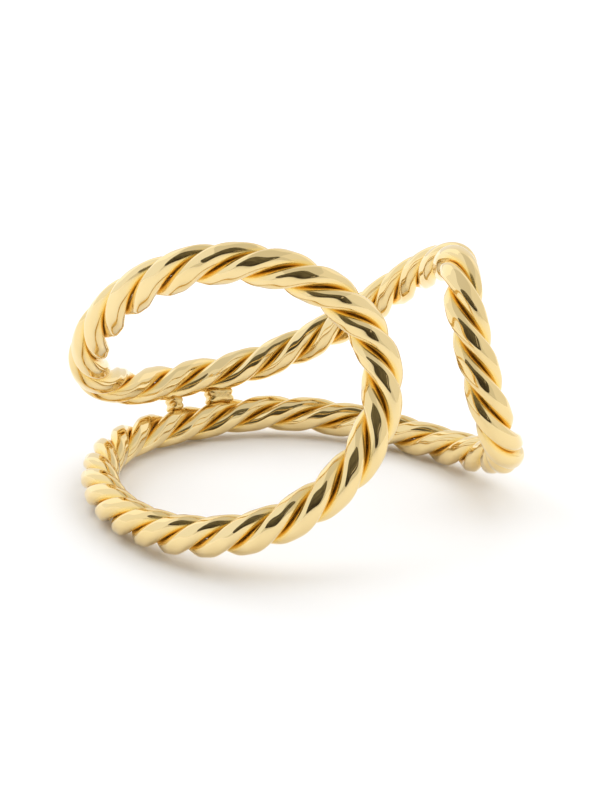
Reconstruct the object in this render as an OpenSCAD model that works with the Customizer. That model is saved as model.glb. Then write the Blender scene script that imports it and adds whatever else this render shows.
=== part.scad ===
// Rope twist ring. One closed loop of three-strand rope is bent round the finger into two bows that face
// each other over a gap, and its two rails are soldered together at the shank. It lies on its side, as it
// rests by itself, with the gap towards -Y.

/* [Rope] */
// Diameter of the rope over its three strands
rope_d = 1.94; // [1.5:0.02:2.2]
// Depth of the grooves between the strands in the rope's outline, as a share of its diameter
groove = 0.1; // [0.08:0.005:0.11]
// How far the strands' crowns are polished down, to the rope's own round, as a share of its diameter
polish = 0.03; // [0.01:0.0025:0.03]
// Clearance between neighbouring strands
strand_gap = 0.05; // [0.03:0.01:0.08]
// Length of rope in which a strand goes once round, before it is rounded to whole turns
lay = 6.75; // [6:0.25:9]
// Angle of the strands about the rope where the loop starts, at the narrowest part of the shank
lay_start = 13; // [0:1:120]
// Angle by which the strands swing ahead of an even lay and back, once round the loop
lay_swing = 59; // [0:1:70]
// Where that swing starts, as an angle of its one wave
swing_at = 18; // [-180:1:180]
// Angle by which they also swing ahead and back twice round the loop
lay_ripple = 44; // [0:1:50]
// Where that ripple starts, as an angle of its two waves
ripple_at = -40; // [-180:1:180]

/* [Finger opening] */
// Mean diameter of the opening
bore_d = 17.2; // [15:0.1:21]
// How much longer the opening is from shank to gap than across
bore_oval = 2.5; // [0:0.1:3]
// Angle at which the band narrows upwards, as on the tapered mandrel that it was bent on
bore_taper = 4.4; // [0:0.2:6]

/* [Shank] */
// Clearance between the two rails where they are soldered
rail_gap = 0.4; // [0.3:0.02:0.8]
// Length along which the two rails run level, before they splay
level_l = 3.4; // [2.4:0.1:5]
// Length of the bead of solder on the side of the round bow
round_bead_l = 0.65; // [0.5:0.05:1.5]
// Length of the bead of solder on the side of the square bow
square_bead_l = 1.45; // [1:0.05:2.2]
// Length of the slit that is left open between the two beads
slit_l = 1.55; // [0.6:0.05:1.8]
// Angle round the finger from the narrowest part of the shank to the middle of the slit
slit_at = -1; // [-5:1:5]
// Thickness of the solder from the finger's side to the outside
solder_t = 0.9; // [0.6:0.05:1.1]
// How far the solder runs into the grooves of the rope, as a share of the rope's diameter
solder_depth = 0.08; // [0.04:0.01:0.09]
// Depth of the hollow in each end of a bead, where it draws back between the rails
solder_hollow = 0.18; // [0.1:0.02:0.22]
// Clearance between the solder and the strands
solder_gap = 0.05; // [0.05:0.01:0.07]

/* [Round bow] */
// Angle round the finger from the shank to the end of the bow
round_reach = 175; // [160:1:180]
// Width of the bow between the centres of its rails
round_w = 11.7; // [9:0.1:13]
// Height of the bow's middle above the middle of the shank
round_rise = 0.3; // [-1:0.1:1]
// Share of the reach at which the bow is widest
round_widest = 0.76; // [0.68:0.01:0.8]
// Squareness of the bow's end, where 2 is an ellipse
round_square = 1.93; // [1.8:0.01:2.6]
// Angle by which the upper part of the end reaches further than its middle
round_lean = 2.5; // [-4:0.5:4]

/* [Square bow] */
// Angle round the finger from the shank to the end of the bow
square_reach = 145; // [135:1:150]
// Width of the bow between the centres of its rails
square_w = 9.6; // [8.5:0.1:11]
// Height of the bow's middle above the middle of the shank
square_rise = -0.12; // [-1:0.02:1]
// Share of the reach at which the bow is widest
square_widest = 0.73; // [0.66:0.01:0.76]
// Squareness of the bow's end, where 2 is an ellipse
square_square = 3.4; // [2.2:0.1:3.6]
// Angle by which the upper part of the end reaches further than its middle
square_lean = 0; // [-4:0.5:4]

/* [Hidden] */

strand_count = 3;
crown_steps = 2;
side_steps = 3;
rings_per_turn = 13;
points_per_part = 60;
solder_layers = 6;
solder_steps = 10;

// Sums and averages that the rest is built on
function dot(a, b) = a * b;
function unit(v) = v / norm(v);
function across(v, along) = unit(v - dot(v, along) * along);
function ease(u) = u * u * (3 - 2 * u);
function outward(angle) = [cos(angle), sin(angle), 0];

// A strand is a round wire. Two flat flanks face its neighbours, and its crown is polished down to the rope's
// own round.
flank_a = 180 / strand_count;
wire_off = rope_d * (groove + polish) / (1 - cos(flank_a));
wire_r = rope_d * (1 / 2 + polish) - wire_off;
wire_a = flank_a + asin((wire_off * sin(flank_a) - strand_gap / 2) / wire_r);
crown_r = rope_d / 2;
crown_edge = (crown_r * crown_r + wire_off * wire_off - wire_r * wire_r) / (2 * wire_off);
crown_a = acos(crown_edge / crown_r);
side_a = acos((crown_edge - wire_off) / wire_r);
function arc_point(off, r, angle) = [off + r * cos(angle), r * sin(angle)];
function side_point(i) = arc_point(wire_off, wire_r, side_a + (wire_a - side_a) * i / side_steps);
section = concat([[strand_gap / 2 / sin(flank_a), 0]],
                 [for (i = [side_steps : -1 : 1]) [side_point(i).x, -side_point(i).y]],
                 [for (i = [0 : crown_steps]) arc_point(0, crown_r, crown_a * (2 * i / crown_steps - 1))],
                 [for (i = [1 : side_steps]) side_point(i)]);

// A bow's sizes, by column
REACH = 0;
HALF_W = 1;
RISE = 2;
WIDEST = 3;
SQUARE = 4;
LEAN = 5;
round_bow = [round_reach, round_w / 2, round_rise, round_widest, round_square, round_lean];
square_bow = [square_reach, square_w / 2, square_rise, square_widest, square_square, square_lean];

band_r = (bore_d + rope_d) / 2;
rail_h = (rail_gap + rope_d) / 2;
shank_r = band_r + bore_oval / 4;
function shank_angle(length) = length / shank_r * 180 / PI;

// The rope's centre line is laid out as angle round the finger and height. Each rail leaves the shank level,
// splays until the bow is widest, and rounds its end.
function splay(bow, up) =
    let (start_a = shank_angle(level_l / 2), end_a = bow[WIDEST] * bow[REACH])
    [for (i = [0 : points_per_part])
        let (u = i / points_per_part, s = ease(u))
        [start_a + u * (end_a - start_a), bow[RISE] * s + up * (rail_h + (bow[HALF_W] - rail_h) * s)]];
function bow_end(bow, up) =
    let (start_a = bow[WIDEST] * bow[REACH])
    [for (i = [1 : points_per_part])
        let (t = 90 * i / points_per_part,
             along = pow(sin(t), 2 / bow[SQUARE]),
             high = pow(cos(t), 2 / bow[SQUARE]))
        [start_a + (bow[REACH] - start_a) * along + up * bow[LEAN] * along * high,
         bow[RISE] + up * bow[HALF_W] * high]];
function rail(bow, up) = concat([[0, up * rail_h]], splay(bow, up), bow_end(bow, up));
function turned_back(line) = [for (i = [len(line) - 2 : -1 : 0]) line[i]];
function from_second(line) = [for (i = [1 : len(line) - 1]) line[i]];
function other_way(line) = [for (p = line) [-p.x, p.y]];
outline = concat(rail(round_bow, 1), turned_back(rail(round_bow, -1)),
                 from_second(other_way(rail(square_bow, -1))), turned_back(other_way(rail(square_bow, 1))));

// The layout is wrapped round the finger, which is oval and tapered
function band_radius(angle, height) = band_r + bore_oval / 4 * cos(2 * angle) - height * tan(bore_taper);
function on_band(p) = band_radius(p.x, p.y) * outward(p.x) + [0, 0, p.y];

// The loop's stations are spaced evenly along its length
wrapped = [for (p = outline) on_band(p)];
way = [for (i = 0, s = 0; i < len(wrapped);
            s = s + (i < len(wrapped) - 1 ? norm(wrapped[i + 1] - wrapped[i]) : 0), i = i + 1) s];
loop_l = way[len(way) - 1];
angle_at = [for (i = [0 : len(way) - 1]) [way[i], outline[i].x]];
height_at = [for (i = [0 : len(way) - 1]) [way[i], outline[i].y]];
turns = round(loop_l / lay);
stations = turns * rings_per_turn;
layout = [for (i = [0 : stations - 1])
    let (s = loop_l * i / stations) [lookup(s, angle_at), lookup(s, height_at)]];
centre_line = [for (p = layout) on_band(p)];
function next(i) = (i + 1) % stations;
function last(i) = (i + stations - 1) % stations;
rope_way = [for (i = [0 : stations - 1]) unit(centre_line[next(i)] - centre_line[last(i)])];
rope_out = [for (i = [0 : stations - 1]) across(outward(layout[i].x), rope_way[i])];

// Each strand runs left-handed about the centre line, and closes on itself after whole turns
function twist(i) =
    let (way_round = 360 * i / stations)
    lay_start - turns * way_round + lay_swing * sin(way_round + swing_at)
        + lay_ripple * sin(2 * way_round + ripple_at);
function strand_rings(k) =
    [for (i = [0 : stations - 1])
        let (angle = twist(i) + k * 360 / strand_count,
             high = cos(angle) * rope_out[i] + sin(angle) * cross(rope_way[i], rope_out[i]),
             wide = cross(rope_way[i], high))
        [for (p = section) centre_line[i] + p.x * high + p.y * wide]];

// The ring rests on three places: the lower rails of the two bows and of the shank. The plane through the
// lowest point of each gives the upright direction, and a few rounds settle it.
function lower(bow, side) = [for (p = concat(splay(bow, -1), bow_end(bow, -1))) on_band([side * p.x, p.y])];
shank_line = [for (a = [-40 : 2 : 40]) on_band([a, -rail_h])];
function lowest(line, up) =
    let (heights = [for (p = line) dot(p, up)], low = min(heights))
    line[search(low, heights)[0]];
function settle(up, rounds) =
    rounds == 0 ? up :
    let (a = lowest(lower(round_bow, 1), up),
         b = lowest(lower(square_bow, -1), up),
         c = lowest(shank_line, up),
         n = unit(cross(b - a, c - a)))
    settle(n.z < 0 ? -n : n, rounds - 1);
up = settle([0, 0, 1], 6);
gap_angle = (round_reach + 360 - square_reach) / 2;
back = -across(outward(gap_angle), up);
right = cross(back, up);
function laid(p) = [dot(p, right), dot(p, back), dot(p, up)];
all_points = [for (k = [0 : strand_count - 1], ring = strand_rings(k), p = ring) laid(p)];
function span(axis) = let (all = [for (p = all_points) p[axis]]) [min(all), max(all)];
place = [-(span(0)[0] + span(0)[1]) / 2, -(span(1)[0] + span(1)[1]) / 2, -span(2)[0]];

// Skin over a row of rings, which closes on itself or ends in a cap at either end. The last strip is split
// along its other diagonal, so that the flanks of two neighbouring strands have the same facets.
module skin(rings, closed) {
    n = len(rings);
    m = len(rings[0]);
    points = [for (ring = rings, p = ring) laid(p) + place];
    caps = [for (ring = [rings[0], rings[n - 1]]) laid([for (i = [1 : m]) 1 / m] * ring) + place];
    sides = [for (i = [0 : closed ? n - 1 : n - 2], j = [0 : m - 1], half = [0, 1])
        let (a = i * m + j, b = i * m + (j + 1) % m, c = (i + 1) % n * m + j, d = (i + 1) % n * m + (j + 1) % m)
        (j < m - 1 ? [[a, c, d], [a, d, b]] : [[a, c, b], [b, c, d]])[half]];
    fans = [for (j = [0 : m - 1], end = [0, 1])
        let (first = end * (n - 1) * m, a = first + j, b = first + (j + 1) % m)
        end == 0 ? [n * m, a, b] : [n * m + 1, b, a]];
    polyhedron(points = closed ? points : concat(points, caps), faces = closed ? sides : concat(sides, fans));
}

module strand(k) {
    color("gold") skin(strand_rings(k), closed = true);
}

module strand_1() strand(0);

module strand_2() strand(1);

module strand_3() strand(2);

// Distance from the rope's centre line to the solder, by the angle about the rope. The solder runs into the
// grooves between the strands, but not to their bottom.
function solder_r(i, angle) =
    let (apart = 360 / strand_count,
         from_crown = abs(angle - twist(i) - apart * round((angle - twist(i)) / apart)),
         a = max(from_crown - 2 * asin(solder_gap / crown_r), 0),
         strand_edge = wire_off * cos(a) + sqrt(wire_r * wire_r - pow(wire_off * sin(a), 2)))
    solder_gap + max(min(crown_r, strand_edge), crown_r - solder_depth * rope_d);

// Half the height of the solder under the upper rail or over the lower one. The lower rail comes halfway round
// the loop, and runs the other way.
half_way = way[2 * len(rail(round_bow, 1)) - 2];
function solder_h(side, angle, depth) =
    let (s = (side > 0 ? 0 : half_way) + side * shank_r * angle * PI / 180,
         r = solder_r(s / loop_l * stations, acos(depth / (crown_r + solder_gap))))
    rail_h - sqrt(r * r - depth * depth);

// One layer of a bead of solder, at a depth from the middle of the rails. Its ends are hollow.
function solder_layer(from_l, to_l, depth) =
    let (mid = slit_at + shank_angle(from_l + to_l) / 2,
         half = shank_angle(abs(to_l - from_l)) / 2,
         steps = [for (i = [0 : solder_steps - 1]) 2 * i / solder_steps - 1])
    [for (side = [1, -1],
          p = concat([for (u = steps) [u * half, side * solder_h(side, mid + side * u * half, depth)]],
                     [for (u = steps)
                         let (high = solder_h(1, mid + side * half, depth),
                              low = solder_h(-1, mid + side * half, depth))
                         [half - shank_angle(solder_hollow) * (1 - u * u),
                          (high - low - side * u * (high + low)) / 2]]))
        on_band([mid + side * p.x, p.y]) + depth * outward(mid + side * p.x)];

module solder(from_l, to_l) {
    color("goldenrod")
        skin([for (i = [0 : solder_layers])
                 solder_layer(from_l, to_l, solder_t * (1 / 2 - i / solder_layers))], closed = false);
}

module solder_1() solder(slit_l / 2, slit_l / 2 + round_bead_l);

module solder_2() solder(-slit_l / 2 - square_bead_l, -slit_l / 2);

strand_1();
strand_2();
strand_3();
solder_1();
solder_2();
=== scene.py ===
import math

import bmesh
import bpy
from mathutils import Matrix, Vector
from mathutils.bvhtree import BVHTree


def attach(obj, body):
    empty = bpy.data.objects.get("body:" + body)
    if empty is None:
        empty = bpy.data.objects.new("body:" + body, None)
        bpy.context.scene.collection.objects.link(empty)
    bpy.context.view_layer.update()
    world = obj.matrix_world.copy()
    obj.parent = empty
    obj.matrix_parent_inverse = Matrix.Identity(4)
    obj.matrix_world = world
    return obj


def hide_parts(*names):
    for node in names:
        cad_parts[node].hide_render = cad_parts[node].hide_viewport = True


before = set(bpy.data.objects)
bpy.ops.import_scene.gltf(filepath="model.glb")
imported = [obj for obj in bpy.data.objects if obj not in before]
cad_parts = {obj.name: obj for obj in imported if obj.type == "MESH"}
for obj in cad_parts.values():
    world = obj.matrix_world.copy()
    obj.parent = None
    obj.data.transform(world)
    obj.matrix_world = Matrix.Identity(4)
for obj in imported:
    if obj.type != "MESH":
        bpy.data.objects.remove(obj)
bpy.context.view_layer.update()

MM = 0.001

# How close a wire's neighbour is where the groove mark begins on its side, and where it is full: the mark
# paints shade as a deeper amber, and makes the surface rougher where the buff doesn't reach
GROOVE_SHADE_AND_DULL_STARTS = 0.34 * MM
GROOVE_SHADE_AND_DULL_FULL = 0.10 * MM

# How often each face is halved, how far the rounded surface is brought out again, and how often the solder
# is smoothed
FINENESS = 2
WIRE_SWELL = 0.014 * MM
BEAD_SWELL = 0.12 * MM
BEAD_SMOOTHING = 100

# Base colours of the metal
GOLD_PALE = (0.88, 0.69, 0.355, 1)
GOLD_DEEP = (0.86, 0.66, 0.315, 1)
# Painted shade: a deeper amber where the wires face each other, for the light they bounce between them and
# the shade they cast
GOLD_PAINTED_GROOVE_SHADE = (0.96, 0.66, 0.17, 1)
# Painted shade: both solder colours are darker than the solder itself, for the shade the bead sits in; the
# spread between the two is stains
SOLDER_PALE_SHADED = (0.86, 0.66, 0.31, 1)
SOLDER_STAINED_SHADED = (0.80, 0.57, 0.23, 1)

# Most of a noise lies between these two values
NOISE_LOW = 0.35
NOISE_HIGH = 0.65

# The camera of the photograph, in millimetres about the ring
CAMERA_AT = (-64.97, -61.23, 32.33)
CAMERA_RIGHT = (0.6810, -0.7322, 0.0135)
CAMERA_UP = (0.2067, 0.2098, 0.9557)
PICTURE_WIDTH = 600
FOCAL_PIXELS = 1958.4
SENSOR_MM = 36.0

# The studio, in metres and degrees
LAMP_DISTANCE = 0.4
CARD_ACROSS = -10
CARD_HEIGHT = 32
CARD_WIDTH = 0.62
CARD_TALL = 0.47
CARD_BROWN = (0.035, 0.026, 0.014, 1)
CARD_OLIVE = (0.14, 0.125, 0.08, 1)
STRIP_ACROSS = 20
STRIP_HEIGHT = 25
STRIP_WIDTH = 0.014
STRIP_TALL = 0.11
STRIP_LEAN = -35
STRIP_DISTANCE = LAMP_DISTANCE * 0.97
FLOOR_WIDTH = 1.6
SKY_STRENGTH = 0.75
DAYLIGHT = (0.90, 1.0, 1.2)
LAMPLIGHT = (1.0, 1.0, 1.0)


def place_camera():
    right = Vector(CAMERA_RIGHT).normalized()
    up = Vector(CAMERA_UP)
    up = (up - up.dot(right) * right).normalized()
    turn = Matrix((right, up, right.cross(up))).transposed().to_4x4()
    bpy.ops.object.camera_add()
    camera = bpy.context.object
    camera.name = "photo_camera"
    camera.matrix_world = Matrix.Translation(Vector(CAMERA_AT) * MM) @ turn
    camera.data.sensor_fit = "HORIZONTAL"
    camera.data.sensor_width = SENSOR_MM
    camera.data.lens = FOCAL_PIXELS / PICTURE_WIDTH * SENSOR_MM
    camera.data.clip_start = 0.001
    camera.data.clip_end = 10
    bpy.context.scene.camera = camera


def deselect():
    bpy.ops.object.select_all(action="DESELECT")


def choose(piece):
    deselect()
    piece.select_set(True)
    bpy.context.view_layer.objects.active = piece


def join_halves(mesh):
    """The solid's triangles come in pairs, and each pair is one four-sided face of the wire."""
    bpy.ops.mesh.select_mode(type="EDGE")
    bpy.ops.mesh.select_all(action="DESELECT")
    halves = list(bmesh.from_edit_mesh(mesh).faces)
    for first, second in zip(halves[0::2], halves[1::2]):
        for edge in first.edges:
            if edge in second.edges[:]:
                edge.select = True
    bmesh.update_edit_mesh(mesh)
    bpy.ops.mesh.dissolve_edges(use_verts=False)


def rounded_copy(node_name, name, swell, smoothing=0):
    """A piece of wire or solder with the facets of its solid rounded off."""
    piece = bpy.data.objects.new(name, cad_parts[node_name].data.copy())
    bpy.context.scene.collection.objects.link(piece)
    piece.data.name = name
    choose(piece)
    bpy.ops.mesh.customdata_custom_splitnormals_clear()
    bpy.ops.object.mode_set(mode="EDIT")
    bpy.ops.mesh.select_all(action="SELECT")
    bpy.ops.mesh.remove_doubles(threshold=1e-6)
    join_halves(piece.data)
    bpy.ops.mesh.select_all(action="SELECT")
    bpy.ops.mesh.tris_convert_to_quads(face_threshold=math.radians(90), shape_threshold=math.radians(90))
    bpy.ops.object.mode_set(mode="OBJECT")
    rounding = piece.modifiers.new("rounding", "SUBSURF")
    rounding.levels = rounding.render_levels = FINENESS
    bpy.ops.object.modifier_apply(modifier=rounding.name)
    bpy.ops.object.mode_set(mode="EDIT")
    bpy.ops.mesh.select_all(action="SELECT")
    if smoothing:
        bpy.ops.mesh.vertices_smooth(factor=0.5, repeat=smoothing)
    bpy.ops.transform.shrink_fatten(value=swell)
    bpy.ops.object.mode_set(mode="OBJECT")
    bpy.ops.object.shade_smooth()
    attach(piece, "root")
    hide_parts(node_name)
    return piece


def mark_groove_shade_and_dullness(wires):
    """Marks where a wire runs close to its neighbours, 1 there and 0 on a crown: painted shade there, and a
    rougher surface where the buff doesn't reach.
    """
    scene_now = bpy.context.evaluated_depsgraph_get()
    trees = {wire.name: BVHTree.FromObject(wire, scene_now) for wire in wires}
    for wire in wires:
        neighbours = [tree for name, tree in trees.items() if name != wire.name]
        groove = wire.data.attributes.new("groove", "FLOAT", "POINT")
        for vertex in wire.data.vertices:
            away = min(tree.find_nearest(vertex.co)[3] for tree in neighbours)
            share = (GROOVE_SHADE_AND_DULL_STARTS - away) / (GROOVE_SHADE_AND_DULL_STARTS - GROOVE_SHADE_AND_DULL_FULL)
            groove.data[vertex.index].value = min(max(share, 0), 1)


def new_material(name):
    material = bpy.data.materials.new(name)
    material.use_nodes = True
    nodes = material.node_tree.nodes
    shader = nodes["Principled BSDF"]
    return material, nodes, material.node_tree.links, shader


def noise(nodes, links, where, scale, detail):
    texture = nodes.new("ShaderNodeTexNoise")
    texture.inputs["Scale"].default_value = scale
    texture.inputs["Detail"].default_value = detail
    links.new(where, texture.inputs["Vector"])
    return texture.outputs["Fac"]


def spread(nodes, links, value, low, high, from_low=0.0, from_high=1.0):
    """Spreads a value over another range."""
    reach = nodes.new("ShaderNodeMapRange")
    reach.inputs["From Min"].default_value = from_low
    reach.inputs["From Max"].default_value = from_high
    reach.inputs["To Min"].default_value = low
    reach.inputs["To Max"].default_value = high
    links.new(value, reach.inputs["Value"])
    return reach.outputs["Result"]


def blend(nodes, links, share, first, second):
    mixed = nodes.new("ShaderNodeMix")
    mixed.data_type = "RGBA"
    links.new(share, mixed.inputs[0])
    for socket, colour in ((mixed.inputs[6], first), (mixed.inputs[7], second)):
        if isinstance(colour, tuple):
            socket.default_value = colour
        else:
            links.new(colour, socket)
    return mixed.outputs[2]


def total(nodes, links, first, second):
    added = nodes.new("ShaderNodeMath")
    added.operation = "ADD"
    links.new(first, added.inputs[0])
    links.new(second, added.inputs[1])
    return added.outputs[0]


def waves(nodes, links, shader, height, depth):
    """Slight unevenness of the surface, as deep as given in metres."""
    bump = nodes.new("ShaderNodeBump")
    bump.inputs["Strength"].default_value = 1.0
    bump.inputs["Distance"].default_value = depth
    links.new(height, bump.inputs["Height"])
    links.new(bump.outputs["Normal"], shader.inputs["Normal"])


def polished_gold():
    material, nodes, links, shader = new_material("polished_gold")
    place = nodes.new("ShaderNodeTexCoord").outputs["Object"]
    groove = nodes.new("ShaderNodeAttribute")
    groove.attribute_name = "groove"
    in_groove = groove.outputs["Fac"]
    clouds = spread(nodes, links, noise(nodes, links, place, 260, 3), 0, 1, NOISE_LOW, NOISE_HIGH)
    crown = blend(nodes, links, clouds, GOLD_PALE, GOLD_DEEP)
    # Painted shade: the groove mark turns the base colour to a deeper amber between the wires
    links.new(blend(nodes, links, in_groove, crown, GOLD_PAINTED_GROOVE_SHADE), shader.inputs["Base Color"])
    shader.inputs["Metallic"].default_value = 1.0
    rubbed = nodes.new("ShaderNodeMapping")
    rubbed.inputs["Scale"].default_value = (1, 1, 6)
    links.new(place, rubbed.inputs["Vector"])
    scratches = spread(nodes, links, noise(nodes, links, rubbed.outputs[0], 5200, 4), 0.035, 0.095, 0.4, 0.7)
    unpolished = spread(nodes, links, in_groove, 0, 0.3)
    links.new(total(nodes, links, scratches, unpolished), shader.inputs["Roughness"])
    waves(nodes, links, shader, noise(nodes, links, place, 950, 1), 0.016 * MM)
    return material


def flowed_solder():
    material, nodes, links, shader = new_material("solder")
    place = nodes.new("ShaderNodeTexCoord").outputs["Object"]
    stains = spread(nodes, links, noise(nodes, links, place, 1500, 3), 0, 1, NOISE_LOW, NOISE_HIGH)
    # Stains blend two solder colours that both carry painted shade
    links.new(blend(nodes, links, stains, SOLDER_PALE_SHADED, SOLDER_STAINED_SHADED), shader.inputs["Base Color"])
    shader.inputs["Metallic"].default_value = 1.0
    grain = spread(nodes, links, noise(nodes, links, place, 4000, 4), 0.12, 0.28, NOISE_LOW, NOISE_HIGH)
    links.new(grain, shader.inputs["Roughness"])
    waves(nodes, links, shader, noise(nodes, links, place, 1600, 2), 0.012 * MM)
    return material


def lay_floor():
    bpy.ops.mesh.primitive_plane_add(size=FLOOR_WIDTH, location=(0, 0, 0))
    floor = bpy.context.object
    floor.name = "pale_floor"
    material, nodes, links, shader = new_material("pale_floor")
    shader.inputs["Base Color"].default_value = (0.95, 0.95, 0.95, 1)
    shader.inputs["Roughness"].default_value = 0.6
    floor.data.materials.append(material)


def studio_direction(across, height):
    """Where a lamp or card stands, by its angle to the right of the camera and its angle above the floor."""
    front = math.atan2(CAMERA_AT[1], CAMERA_AT[0])
    turn = front + math.radians(across)
    rise = math.radians(height)
    return Vector((math.cos(rise) * math.cos(turn), math.cos(rise) * math.sin(turn), math.sin(rise)))


def facing_ring(item, across, height, distance):
    way = studio_direction(across, height)
    item.matrix_world = Matrix.Translation(way * distance) @ way.to_track_quat("Z", "Y").to_matrix().to_4x4()


def soft_box(name, across, height, width, tall, strength, colour=LAMPLIGHT):
    bpy.ops.object.light_add(type="AREA")
    lamp = bpy.context.object
    lamp.name = name
    lamp.data.shape = "RECTANGLE"
    lamp.data.size = width
    lamp.data.size_y = tall
    lamp.data.energy = strength * width * tall * math.pi
    lamp.data.color = colour
    lamp.visible_camera = False
    facing_ring(lamp, across, height, LAMP_DISTANCE)
    return lamp


def feathered_box(name, across, height, width, tall, strength, colour=LAMPLIGHT):
    """A soft box that fades towards its rim, as three boxes within each other."""
    for number, share in enumerate((1.0, 0.75, 0.5)):
        soft_box(f"{name}_{number + 1}", across, height, width * share, tall * share, strength / 3, colour)


def dark_card():
    bpy.ops.mesh.primitive_circle_add(vertices=64, radius=0.5, fill_type="NGON")
    card = bpy.context.object
    card.name = "dark_card_behind_the_camera"
    card.data.transform(Matrix.Diagonal((CARD_WIDTH, CARD_TALL, 1, 1)))
    facing_ring(card, CARD_ACROSS, CARD_HEIGHT, LAMP_DISTANCE)
    material, nodes, links, shader = new_material("dark_card")
    place = nodes.new("ShaderNodeTexCoord").outputs["Object"]
    parts = nodes.new("ShaderNodeSeparateXYZ")
    links.new(place, parts.inputs[0])
    rising = spread(nodes, links, parts.outputs["Y"], 0, 0.8, -0.5 * CARD_TALL, 0.3 * CARD_TALL)
    smudges = spread(nodes, links, noise(nodes, links, place, 11, 3), -0.35, 0.35, NOISE_LOW, NOISE_HIGH)
    shades = total(nodes, links, rising, smudges)
    links.new(blend(nodes, links, shades, CARD_BROWN, CARD_OLIVE), shader.inputs["Base Color"])
    shader.inputs["Roughness"].default_value = 0.9
    card.data.materials.append(material)
    card.visible_camera = False


def pale_strip():
    """A strip of pale card that shows as a streak in the dark reflections."""
    bpy.ops.mesh.primitive_plane_add(size=1)
    strip = bpy.context.object
    strip.name = "pale_strip"
    lean = Matrix.Rotation(math.radians(STRIP_LEAN), 4, "Z")
    strip.data.transform(lean @ Matrix.Diagonal((STRIP_WIDTH, STRIP_TALL, 1, 1)))
    facing_ring(strip, STRIP_ACROSS, STRIP_HEIGHT, STRIP_DISTANCE)
    material, nodes, links, shader = new_material("pale_strip")
    shader.inputs["Base Color"].default_value = (0.7, 0.62, 0.5, 1)
    shader.inputs["Roughness"].default_value = 0.8
    strip.data.materials.append(material)
    strip.visible_camera = False


def light_studio():
    world = bpy.data.worlds.new("studio")
    world.use_nodes = True
    world.node_tree.nodes["Background"].inputs["Color"].default_value = (1, 1, 1, 1)
    world.node_tree.nodes["Background"].inputs["Strength"].default_value = SKY_STRENGTH
    bpy.context.scene.world = world
    bpy.context.scene.view_settings.view_transform = "Standard"
    feathered_box("window_left", -102, 22, 1.0, 0.7, 0.85, DAYLIGHT)
    feathered_box("soft_box_right", 95, 22, 0.9, 0.6, 0.5)
    feathered_box("lit_backdrop", 180, 22, 1.0, 0.6, 0.62)
    floor_lamp = soft_box("lamp_over_the_floor", 0, 90, 0.9, 0.9, 0.8)
    floor_lamp.visible_glossy = False
    dark_card()
    pale_strip()


place_camera()
gold = polished_gold()
wires = [rounded_copy(f"strand_{number}", f"rope_wire_{number}", WIRE_SWELL) for number in (1, 2, 3)]
mark_groove_shade_and_dullness(wires)
for wire in wires:
    wire.data.materials.clear()
    wire.data.materials.append(gold)
solder = flowed_solder()
for number in (1, 2):
    bead = rounded_copy(f"solder_{number}", f"solder_bead_{number}", BEAD_SWELL, BEAD_SMOOTHING)
    bead.data.materials.clear()
    bead.data.materials.append(solder)
lay_floor()
light_studio()
